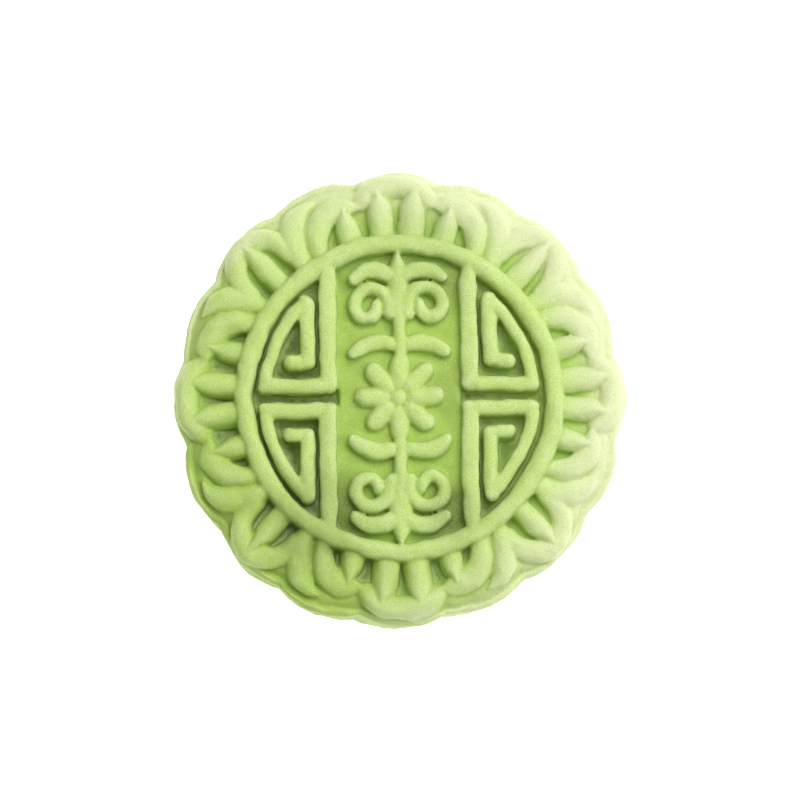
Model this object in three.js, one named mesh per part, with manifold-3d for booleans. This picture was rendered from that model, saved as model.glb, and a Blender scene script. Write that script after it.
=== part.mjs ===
// A snow-skin mooncake pressed in a carved mould: a round cake with scalloped sides. Its top has
// a border of leaves under arches, a round band, a fretwork corner in each quarter and a flower
// ornament on a raised panel. All of it is one piece of dough, so it is one solid.
import * as THREE from "three";
import { mergeVertices } from "three/addons/utils/BufferGeometryUtils.js";
import Module from "manifold-3d";

const wasm = await Module();
wasm.setup();

// Sizes are in millimetres and angles in degrees. The cake stands on Z = 0, centred on the origin.
const LOBES = 16;
const CAKE_RADIUS = 37.5; // out to the middle of a lobe, at the ledge
const NOTCH_DEPTH = 1.2; // how far the outline draws in between two lobes
const CAKE_HEIGHT = 32; // up to the crest of the round band
const NOTCH_REACH = 6; // the notches die out inwards as this power of the radius
const WALL_TAPER = 1.2; // the mould draws the side in towards the base
const BASE_ROUNDING = 3;
const LEDGE_HEIGHT = 27.3;
const LEDGE_WIDTH = 0.8;
const LEDGE_EDGE = 0.4; // the soft outer edge of the ledge
const FLOOR_HEIGHT = 28.7; // the sunken ground that the relief stands on

// The plain rim rises steeply from the ledge and falls gently to the ground. Each place is how far it
// lies inside the ledge, and its height.
const RIM = [[0.35, 28.4], [1.2, 29.1], [3.4, FLOOR_HEIGHT]];
const FOOT_HEIGHT = 26.4; // relief is rooted this low in the dough

const BAND = { radius: 25.6, width: 3.2 };
const PANEL = { halfWidth: 10.6, height: 29.6, reach: 25 };

// A fretwork corner is one stroke in five straight or bent bars, given here for the quarter X, Y > 0.
const FRET = {
  height: 31.8,
  uprightX: 11.6,
  uprightTop: 23.2,
  uprightWidth: 2.8,
  sillY: 2,
  sillWidth: 2.6,
  bowRadius: 22.45,
  bowWidth: 2.4,
  innerX: 14.95,
  innerWidth: 2.45,
  hookY: 6,
  hookEnd: 19.1,
  hookWidth: 2.35,
};

// The border repeats in each quarter and mirrors about that quarter's middle. Its places are [x, y] for
// the quarter whose middle is on +Y, from the root to the tip of a leaf and along the crest of an arch.
const QUARTERS = 4;
const MAIN_LEAF = { line: [[2.3, 25.4], [2.75, 30], [3.3, 34.4]], halfWidth: 2.25, rise: 2.7 };
const SIDE_LEAF = { line: [[7.6, 24.6], [8.2, 28.2], [9, 32.1]], halfWidth: 2.05, rise: 2.4 };
const CORNER_LEAF = { line: [[17.4, 17.4], [21.2, 21.2], [25, 25]], halfWidth: 2.6, rise: 2.7 };

// An arch's half width is given at its root, middle and end, and its rise at its root and end.
const MAIN_ARCH = {
  line: [[-6.9, 33.3], [-3.6, 34.8], [0, 35.1], [3.6, 34.8], [6.9, 33.3]],
  halfWidth: [1.5, 1.75, 1.5],
  rise: [1.9, 1.9],
};
const SIDE_ARCH = {
  line: [[12.2, 24], [12.55, 27.5], [11.7, 30.3], [9.4, 32.3], [5.4, 32.4]],
  halfWidth: [1.9, 2.45, 1.75],
  rise: [2.5, 1.8],
};
const OUTER_ARCH = {
  line: [[16.2, 21], [17, 24], [16.8, 27.2], [16, 30.2], [14.6, 33]],
  halfWidth: [1.7, 2.1, 1.5],
  rise: [2.5, 1.5],
};
const CORNER_ARCH = {
  line: [[17.2, 22], [18.6, 25.2], [22.4, 26.7], [25.2, 25.2], [26.7, 22.4], [25.2, 18.6], [22, 17.2]],
  halfWidth: [1.7, 1.45, 1.7],
  rise: [2.1, 2.1],
};

// The flower ornament: an open blossom, and above and below it a stem with two low leaves, two scrolls,
// a middle leaf and two high leaves that droop over the scrolls.
const ORNAMENT_RISE = 2.2; // above the panel
const BLOSSOM = { petals: 8, inner: 1.2, outer: 7.6, halfWidth: 1.7, button: 1.9 };
const STEM = { line: [[0, 6.4], [0, 15]], halfWidth: [1.1, 1.1, 1.1] };
const LOW_LEAF = { line: [[0.4, 8.6], [3.4, 9.1], [6.2, 8.3], [8.4, 6.5]], halfWidth: [1.1, 1.35, 0.8] };
const SCROLL = { eye: [4.95, 15.1], innerRadius: 0.9, outerRadius: 3.85, turns: 1.25, end: 218 };
const SCROLL_WIDTH = [1.15, 1.15, 1.15];
const MIDDLE_LEAF = { line: [[0, 13], [0, 18.5], [0, 24]], halfWidth: 1.85 };
const HIGH_LEAF = { line: [[0.4, 19.8], [2.8, 21.4], [5.6, 21.6], [8.4, 19.6]], halfWidth: [1.1, 1.35, 0.8] };

const DOUGH = new THREE.MeshStandardMaterial({
  color: new THREE.Color().setRGB(0.76, 0.85, 0.5, THREE.SRGBColorSpace),
  roughness: 0.62,
  metalness: 0,
});

const FRET_RISES = [FRET.height - FLOOR_HEIGHT, FRET.height - FLOOR_HEIGHT];
const BOW_STEPS = 8;
const OUTLINE_STEPS = LOBES * 4;
const BAND_STEPS = 64;
const END_TURNS = [12, 48, 90]; // sections of a rope's round end stand at these angles of a quarter turn
const LEAF_PLACES = [0, 0.4, 0.62, 0.8, 0.92, 0.985]; // sections of a leaf stand at these shares of it
const BUTTON_SINK = 1.4; // how deep the blossom's round button sits in its petals

// Section of a rope of dough, one side to the other: straight down into the ground, and a round back
// between. squareness 2 is an ellipse, and more makes the sides steeper and the back flatter.
function ropeSection(facets, squareness) {
  const corners = [{ across: -1, up: null }];
  for (let i = 0; i <= facets; i += 1) {
    const angle = (i / facets - 0.5) * Math.PI;
    const across = Math.sign(angle) * Math.abs(Math.sin(angle)) ** (2 / squareness);
    const up = Math.max(Math.cos(angle), 0) ** (2 / squareness);
    corners.push({ across, up });
  }
  corners.push({ across: 1, up: null });
  return corners;
}

const LEAF_SECTION = ropeSection(4, 2.2);
const ARCH_SECTION = ropeSection(4, 2);
const BAR_SECTION = ropeSection(5, 2.6);
const BAND_SECTION = ropeSection(6, 2.6);

// A closed mesh as a solid that can be joined and cut.
function toSolid(geometry) {
  const bare = geometry.index ? geometry.toNonIndexed() : geometry.clone();
  bare.deleteAttribute("normal");
  bare.deleteAttribute("uv");
  const merged = mergeVertices(bare, 1e-4);
  const mesh = new wasm.Mesh({
    numProp: 3,
    vertProperties: new Float32Array(merged.attributes.position.array),
    triVerts: new Uint32Array(merged.index.array),
  });
  return new wasm.Manifold(mesh);
}

function toGeometry(solid) {
  const mesh = solid.getMesh();
  const geometry = new THREE.BufferGeometry();
  geometry.setAttribute("position", new THREE.BufferAttribute(mesh.vertProperties, 3));
  geometry.setIndex(new THREE.BufferAttribute(mesh.triVerts, 1));
  const flat = geometry.toNonIndexed();
  flat.computeVertexNormals();
  return flat;
}

// A rope of dough along a plan curve. Each station says how far along it stands, how wide the rope is
// to each side there and how far it rises. ground is the height that the rise starts from.
function rope(curve, stations, section, ground) {
  const last = stations.length - 1;
  const tube = new THREE.CylinderGeometry(1, 1, 1, section.length, last);
  const place = tube.attributes.position;
  for (let i = 0; i < place.count; i += 1) {
    const station = stations[Math.round((0.5 - place.getY(i)) * last)];
    const centre = curve.getPointAt(station.along);
    const heading = curve.getTangentAt(station.along);
    const onAxis = Math.hypot(place.getX(i), place.getZ(i)) < 0.5;
    const turn = Math.atan2(place.getX(i), place.getZ(i)) / (2 * Math.PI);
    const side = (Math.round(turn * section.length) + section.length) % section.length;
    const corner = onAxis ? { across: 0, up: null } : section[side];
    const across = corner.across * station.halfWidth;
    const height = corner.up === null ? FOOT_HEIGHT : ground + corner.up * station.rise;
    place.setXYZ(i, centre.x - heading.y * across, centre.y + heading.x * across, height);
  }
  return toSolid(tube);
}

// A value that starts at the first of three, passes the second half way and ends at the third.
function blend([start, middle, end], along) {
  const bow = 4 * middle - 2 * (start + end);
  return THREE.MathUtils.lerp(start, end, along) + bow * along * (1 - along);
}

// Stations of a rope with two round ends and even steps between them.
function roundEnded(length, halfWidth, rise, steps) {
  const reach = [halfWidth[0] / length, halfWidth[2] / length];
  const turns = END_TURNS.map((angle) => THREE.MathUtils.degToRad(angle));
  const places = turns.map((turn) => ({ along: reach[0] * (1 - Math.cos(turn)), turn }));
  for (let i = 1; i < steps; i += 1) {
    places.push({ along: THREE.MathUtils.lerp(reach[0], 1 - reach[1], i / steps), turn: Math.PI / 2 });
  }
  const closing = turns.map((turn) => ({ along: 1 - reach[1] * (1 - Math.cos(turn)), turn }));
  places.push(...closing.reverse());
  return places.map(({ along, turn }) => ({
    along,
    halfWidth: blend(halfWidth, along) * Math.sin(turn),
    rise: THREE.MathUtils.lerp(rise[0], rise[1], along) * Math.sin(turn) ** 0.4,
  }));
}

// Stations of a leaf: full at its root, drawn in to a point at its tip and falling a little towards it.
function leafStations(halfWidth, rise) {
  return LEAF_PLACES.map((along) => ({
    along,
    halfWidth: halfWidth * (1 - along ** 4) ** 0.8,
    rise: rise * (1 - 0.2 * along) * (1 - along ** 8) ** 0.5,
  }));
}

function planCurve(line) {
  return new THREE.SplineCurve(line.map(([x, y]) => new THREE.Vector2(x, y)));
}

function polar(angle, radius) {
  const turned = THREE.MathUtils.degToRad(angle);
  return new THREE.Vector2(radius * Math.sin(turned), radius * Math.cos(turned));
}

// How far the outline draws in at an angle: nothing on the middle of a lobe, all of it at a notch.
function notchAt(angle) {
  const lobe = (2 * Math.PI) / LOBES;
  const fromMiddle = angle / lobe - Math.round(angle / lobe);
  return NOTCH_DEPTH * (2 * fromMiddle) ** 2;
}

// The cake without its relief: flat base, tapered side, ledge, plain rim and sunken ground.
function cakeBody() {
  const baseRadius = CAKE_RADIUS - WALL_TAPER;
  const outline = [new THREE.Vector2(0, 0)];
  for (const angle of [0, 45, 90]) {
    const turned = THREE.MathUtils.degToRad(angle);
    const out = baseRadius - BASE_ROUNDING * (1 - Math.sin(turned));
    outline.push(new THREE.Vector2(out, BASE_ROUNDING * (1 - Math.cos(turned))));
  }
  const ledgeInside = CAKE_RADIUS - LEDGE_WIDTH;
  outline.push(new THREE.Vector2(CAKE_RADIUS, LEDGE_HEIGHT - LEDGE_EDGE));
  outline.push(new THREE.Vector2(CAKE_RADIUS - LEDGE_EDGE / 2, LEDGE_HEIGHT));
  outline.push(new THREE.Vector2(ledgeInside, LEDGE_HEIGHT));
  outline.push(...RIM.map(([inside, height]) => new THREE.Vector2(ledgeInside - inside, height)));
  outline.push(new THREE.Vector2(0, FLOOR_HEIGHT));
  const turnedCake = new THREE.LatheGeometry(outline, OUTLINE_STEPS);
  turnedCake.rotateX(Math.PI / 2);
  const place = turnedCake.attributes.position;
  for (let i = 0; i < place.count; i += 1) {
    const radius = Math.hypot(place.getX(i), place.getY(i));
    const angle = Math.atan2(place.getY(i), place.getX(i));
    const kept = 1 - (notchAt(angle) / CAKE_RADIUS) * (radius / CAKE_RADIUS) ** NOTCH_REACH;
    place.setXY(i, place.getX(i) * kept, place.getY(i) * kept);
  }
  return toSolid(turnedCake);
}

// The round band between the border and the middle.
function roundBand() {
  const section = BAND_SECTION.map(({ across, up }) => {
    const height = up === null ? FOOT_HEIGHT : FLOOR_HEIGHT + up * (CAKE_HEIGHT - FLOOR_HEIGHT);
    return new THREE.Vector2(BAND.radius + (across * BAND.width) / 2, height);
  });
  section.reverse();
  section.push(section[0].clone());
  const band = new THREE.LatheGeometry(section, BAND_STEPS);
  band.rotateX(Math.PI / 2);
  return toSolid(band);
}

// The raised ground under the flower ornament, its ends hidden under the round band.
function panel() {
  const corner = Math.asin(PANEL.halfWidth / PANEL.reach);
  const shape = new THREE.Shape();
  shape.absarc(0, 0, PANEL.reach, Math.PI / 2 - corner, Math.PI / 2 + corner, false);
  shape.absarc(0, 0, PANEL.reach, 1.5 * Math.PI - corner, 1.5 * Math.PI + corner, false);
  shape.closePath();
  const depth = PANEL.height - FOOT_HEIGHT;
  const block = new THREE.ExtrudeGeometry(shape, { depth, bevelEnabled: false, curveSegments: 4 });
  block.translate(0, 0, FOOT_HEIGHT);
  return toSolid(block);
}

function bar(from, to, width) {
  const line = planCurve([from, to]);
  const stations = roundEnded(line.getLength(), [width / 2, width / 2, width / 2], FRET_RISES, 1);
  return rope(line, stations, BAR_SECTION, FLOOR_HEIGHT);
}

// One corner of fretwork: an upright, a sill along the middle of the cake, a bow beside the round
// band, an inner upright and a hook. signX and signY choose the quarter.
function fretCorner(signX, signY) {
  const at = (x, y) => [signX * x, signY * y];
  const bowStart = Math.asin(FRET.sillY / FRET.bowRadius);
  const bowEnd = Math.acos(FRET.innerX / FRET.bowRadius);
  const bowLine = [];
  for (let i = 0; i <= BOW_STEPS; i += 1) {
    const angle = THREE.MathUtils.lerp(bowStart, bowEnd, i / BOW_STEPS);
    bowLine.push(at(FRET.bowRadius * Math.cos(angle), FRET.bowRadius * Math.sin(angle)));
  }
  const bowCurve = planCurve(bowLine);
  const half = FRET.bowWidth / 2;
  const bowStations = roundEnded(bowCurve.getLength(), [half, half, half], FRET_RISES, BOW_STEPS);
  const sillEnd = FRET.bowRadius * Math.cos(bowStart) + half;
  const innerTop = FRET.bowRadius * Math.sin(bowEnd) + FRET.innerWidth / 2;
  const uprightFoot = FRET.sillY - FRET.sillWidth / 2;
  const innerFoot = FRET.hookY - FRET.hookWidth / 2;
  return [
    bar(at(FRET.uprightX, FRET.uprightTop), at(FRET.uprightX, uprightFoot), FRET.uprightWidth),
    bar(at(FRET.uprightX, FRET.sillY), at(sillEnd, FRET.sillY), FRET.sillWidth),
    rope(bowCurve, bowStations, BAR_SECTION, FLOOR_HEIGHT),
    bar(at(FRET.innerX, innerTop), at(FRET.innerX, innerFoot), FRET.innerWidth),
    bar(at(FRET.innerX, FRET.hookY), at(FRET.hookEnd, FRET.hookY), FRET.hookWidth),
  ];
}

// A leaf from under the round band out to its tip.
function leaf({ line, halfWidth, rise }, ground = FLOOR_HEIGHT) {
  return rope(planCurve(line), leafStations(halfWidth, rise), LEAF_SECTION, ground);
}

function arch({ line, halfWidth, rise }, steps) {
  const curve = planCurve(line);
  const stations = roundEnded(curve.getLength(), halfWidth, rise, steps);
  return rope(curve, stations, ARCH_SECTION, FLOOR_HEIGHT);
}

// A quarter of the border, its middle on +Y, with the corner leaf and corner arch on one side only.
function borderQuarter() {
  const half = [leaf(MAIN_LEAF), leaf(SIDE_LEAF), arch(SIDE_ARCH, 5), arch(OUTER_ARCH, 5)];
  const otherHalf = half.map((piece) => piece.mirror([1, 0, 0]));
  return [...half, ...otherHalf, arch(MAIN_ARCH, 4), leaf(CORNER_LEAF), arch(CORNER_ARCH, 7)];
}

// A scroll winds clockwise from its eye out to the stem.
class Scroll extends THREE.Curve {
  getPoint(t, target = new THREE.Vector2()) {
    const radius = THREE.MathUtils.lerp(SCROLL.innerRadius, SCROLL.outerRadius, t);
    const angle = THREE.MathUtils.degToRad(SCROLL.end - 360 * SCROLL.turns * (1 - t));
    return target.set(SCROLL.eye[0] + radius * Math.cos(angle), SCROLL.eye[1] + radius * Math.sin(angle));
  }
}

function ornamentRope(curve, halfWidth, steps) {
  const stations = roundEnded(curve.getLength(), halfWidth, [ORNAMENT_RISE, ORNAMENT_RISE], steps);
  return rope(curve, stations, LEAF_SECTION, PANEL.height);
}

function blossom() {
  const pieces = [];
  const petalWidth = [BLOSSOM.halfWidth, BLOSSOM.halfWidth, BLOSSOM.halfWidth];
  for (let i = 0; i < BLOSSOM.petals; i += 1) {
    const angle = (360 * i) / BLOSSOM.petals;
    const line = new THREE.LineCurve(polar(angle, BLOSSOM.outer), polar(angle, BLOSSOM.inner));
    pieces.push(ornamentRope(line, petalWidth, 1));
  }
  const button = new THREE.SphereGeometry(BLOSSOM.button, 12, 6);
  button.rotateX(Math.PI / 2);
  button.translate(0, 0, PANEL.height + BLOSSOM.button - BUTTON_SINK);
  pieces.push(toSolid(button));
  return pieces;
}

// What stands above the blossom.
function spray() {
  const pieces = [
    ornamentRope(planCurve(STEM.line), STEM.halfWidth, 1),
    leaf({ ...MIDDLE_LEAF, rise: ORNAMENT_RISE }, PANEL.height),
  ];
  const rightSide = [
    ornamentRope(planCurve(LOW_LEAF.line), LOW_LEAF.halfWidth, 4),
    ornamentRope(new Scroll(), SCROLL_WIDTH, 12),
    ornamentRope(planCurve(HIGH_LEAF.line), HIGH_LEAF.halfWidth, 4),
  ];
  for (const piece of rightSide) {
    pieces.push(piece, piece.mirror([1, 0, 0]));
  }
  return pieces;
}

// Every raised piece of the relief, each rooted in the body.
function reliefPieces() {
  const pieces = [roundBand(), panel(), ...blossom()];
  for (const signX of [-1, 1]) {
    for (const signY of [-1, 1]) {
      pieces.push(...fretCorner(signX, signY));
    }
  }
  for (const half of spray()) {
    pieces.push(half, half.mirror([0, 1, 0]));
  }
  const quarter = borderQuarter();
  for (let i = 0; i < QUARTERS; i += 1) {
    pieces.push(...quarter.map((piece) => piece.rotate([0, 0, (360 * i) / QUARTERS])));
  }
  return pieces;
}

function mooncake() {
  const solid = reliefPieces().reduce((cake, piece) => cake.add(piece), cakeBody());
  const mesh = new THREE.Mesh(toGeometry(solid), DOUGH);
  mesh.name = "mooncake";
  return mesh;
}

const cake = new THREE.Group();
cake.add(mooncake());
export default cake;
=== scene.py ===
"""Finish of a snow-skin mooncake: soft green rice dough pressed in a carved mould and floured, with painted
light and shade in its colour.
"""

import logging
import math
from collections.abc import Callable, Iterator
from contextlib import contextmanager
from dataclasses import dataclass, replace
from enum import Enum
from itertools import pairwise
from typing import Any

import bpy
from mathutils import Matrix, Vector


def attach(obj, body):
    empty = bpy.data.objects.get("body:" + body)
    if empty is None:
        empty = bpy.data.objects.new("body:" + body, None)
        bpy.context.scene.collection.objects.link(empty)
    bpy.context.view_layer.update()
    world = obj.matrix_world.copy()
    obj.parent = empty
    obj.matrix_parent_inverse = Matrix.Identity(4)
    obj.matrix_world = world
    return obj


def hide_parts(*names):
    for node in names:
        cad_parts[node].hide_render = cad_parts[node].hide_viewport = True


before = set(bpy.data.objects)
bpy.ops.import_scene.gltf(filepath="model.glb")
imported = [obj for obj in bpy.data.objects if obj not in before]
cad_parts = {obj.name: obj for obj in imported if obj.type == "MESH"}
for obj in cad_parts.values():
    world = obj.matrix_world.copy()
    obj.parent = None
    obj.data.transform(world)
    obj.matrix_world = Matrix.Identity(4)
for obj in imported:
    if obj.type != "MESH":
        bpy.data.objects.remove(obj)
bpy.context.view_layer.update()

log = logging.getLogger("mooncake")

# Shapes are modelled in millimetres and brought to metres once they are whole.
MILLIMETRE = 0.001
BODY = "root"
CAD_NODE = "mooncake"
DEPTH = "depth"
CREASE = "crease"
TOUCH = 0.01  # two heights this near, in millimetres, are the same
NOISE_MEAN = 0.5
FULL_TURN = 360

Point = tuple[float, float]
Triple = tuple[float, float, float]
Colour = tuple[float, float, float]


def linear(red: float, green: float, blue: float) -> tuple[float, float, float, float]:
    """Turn a display colour into the linear one that a shader takes, by the sRGB curve.

    Args:
        red: Red from 0 to 1.
        green: Green from 0 to 1.
        blue: Blue from 0 to 1.

    Returns:
        The same colour in linear light, with full alpha.
    """
    parts = [c / 12.92 if c <= 0.04045 else ((c + 0.055) / 1.055) ** 2.4 for c in (red, green, blue)]
    return (*parts, 1.0)


def clamp(value: float) -> float:
    """Hold a number between 0 and 1."""
    return min(max(value, 0.0), 1.0)


class Signal:
    """A value on a wire of a material. Arithmetic on it adds Math nodes."""

    def __init__(self, tree: "ShaderTree", socket: bpy.types.NodeSocket) -> None:
        """Wrap an output socket of a tree."""
        self.tree = tree
        self.socket = socket

    def _math(self, operation: str, first: Any, second: Any) -> "Signal":
        """Add a Math node.

        Args:
            operation: The Math node's operation.
            first: Its first value or signal.
            second: Its second value or signal.

        Returns:
            The node's output.
        """
        node = self.tree.node("ShaderNodeMath", {"operation": operation}, {0: first, 1: second})
        return Signal(self.tree, node.outputs[0])

    def __add__(self, other: Any) -> "Signal":
        """Add."""
        return self._math("ADD", self, other)

    def __radd__(self, other: Any) -> "Signal":
        """Add, with the plain number first."""
        return self._math("ADD", other, self)

    def __sub__(self, other: Any) -> "Signal":
        """Subtract."""
        return self._math("SUBTRACT", self, other)

    def __rsub__(self, other: Any) -> "Signal":
        """Subtract from a plain number."""
        return self._math("SUBTRACT", other, self)

    def __mul__(self, other: Any) -> "Signal":
        """Multiply."""
        return self._math("MULTIPLY", self, other)

    def __rmul__(self, other: Any) -> "Signal":
        """Multiply, with the plain number first."""
        return self._math("MULTIPLY", other, self)

    def __pow__(self, other: Any) -> "Signal":
        """Raise to a power."""
        return self._math("POWER", self, other)

    def between(self, low: float, high: float) -> "Signal":
        """Map smoothly to 0 at one value and 1 at another.

        Args:
            low: The value that becomes 0.
            high: The value that becomes 1.

        Returns:
            The mapped signal, from 0 to 1.
        """
        settings = {"interpolation_type": "SMOOTHSTEP"}
        values = {"Value": self, "From Min": low, "From Max": high}
        return Signal(self.tree, self.tree.node("ShaderNodeMapRange", settings, values).outputs["Result"])

    def onto(self, start: float, end: float) -> "Signal":
        """Spread a signal that goes from 0 to 1 over other values.

        Args:
            start: What 0 becomes.
            end: What 1 becomes.

        Returns:
            The spread signal.
        """
        return self * (end - start) + start


@dataclass(frozen=True)
class Pattern:
    """A noise pattern: the size of one blotch in metres, its finer layers and how strong they are."""

    size: float
    detail: float
    strength: float = 0.5


class ShaderTree:
    """The node tree of one material."""

    def __init__(self, name: str) -> None:
        """Start a material with an empty tree.

        Args:
            name: The material's name.
        """
        self.material = bpy.data.materials.new(name)
        self.material.use_nodes = True
        self.material.node_tree.nodes.clear()

    def node(self, kind: str, settings: dict[str, Any], values: dict[Any, Any]) -> bpy.types.Node:
        """Add one node.

        Args:
            kind: The node's type.
            settings: Its own settings, which are set first.
            values: Numbers, colours, sockets or signals for its inputs, by name or place.

        Returns:
            The new node.
        """
        made = self.material.node_tree.nodes.new(kind)
        for name, value in settings.items():
            setattr(made, name, value)
        for name, value in values.items():
            source = value.socket if isinstance(value, Signal) else value
            if isinstance(source, bpy.types.NodeSocket):
                self.material.node_tree.links.new(source, made.inputs[name])
            else:
                made.inputs[name].default_value = source
        return made

    def place(self) -> bpy.types.NodeSocket:
        """Give the place on the object, in metres."""
        return self.node("ShaderNodeTexCoord", {}, {}).outputs["Object"]

    def across(self) -> tuple[Signal, Signal]:
        """Give the place to the right and up the pattern, in metres."""
        axes = self.node("ShaderNodeSeparateXYZ", {}, {0: self.place()}).outputs
        return Signal(self, axes["X"]), Signal(self, axes["Y"])

    def marked(self, name: str) -> Signal:
        """Give a number that is marked on the mesh itself."""
        return Signal(self, self.node("ShaderNodeAttribute", {"attribute_name": name}, {}).outputs["Fac"])

    def noise(self, pattern: Pattern) -> Signal:
        """Add a noise pattern.

        Args:
            pattern: What the pattern is like.

        Returns:
            The pattern, from 0 to 1.
        """
        values = {"Vector": self.place(), "Scale": 1 / pattern.size}
        values |= {"Detail": pattern.detail, "Roughness": pattern.strength}
        return Signal(self, self.node("ShaderNodeTexNoise", {}, values).outputs[0])

    def mixed(self, share: Signal, first: Any, second: Any) -> bpy.types.NodeSocket:
        """Mix two colours.

        Args:
            share: How much of the second colour shows.
            first: The first colour or its socket.
            second: The second colour or its socket.

        Returns:
            The mixed colour's socket.
        """
        made = self.node("ShaderNodeMix", {"data_type": "RGBA"}, {0: share, 6: first, 7: second})
        return made.outputs[2]

    def bump(self, relief: Signal, depth: float, under: Any = None) -> bpy.types.NodeSocket:
        """Add a bump.

        Args:
            relief: The height pattern.
            depth: How high a full step of it stands, in metres.
            under: The normal of a coarser bump that this one lies on.

        Returns:
            The bumped normal's socket.
        """
        values = {"Height": relief, "Distance": depth}
        if under is not None:
            values["Normal"] = under
        return self.node("ShaderNodeBump", {}, values).outputs[0]

    def surface(self, values: dict[Any, Any]) -> bpy.types.Material:
        """Close the tree with a Principled shader.

        Args:
            values: The shader's inputs.

        Returns:
            The finished material.
        """
        shader = self.node("ShaderNodeBsdfPrincipled", {}, values)
        self.node("ShaderNodeOutputMaterial", {}, {"Surface": shader.outputs[0]})
        return self.material


@dataclass(frozen=True)
class ShadePatch:
    """A round patch of painted shade: its middle and radius in metres, and how dark it is painted."""

    x: float
    y: float
    radius: float
    share: float


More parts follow.
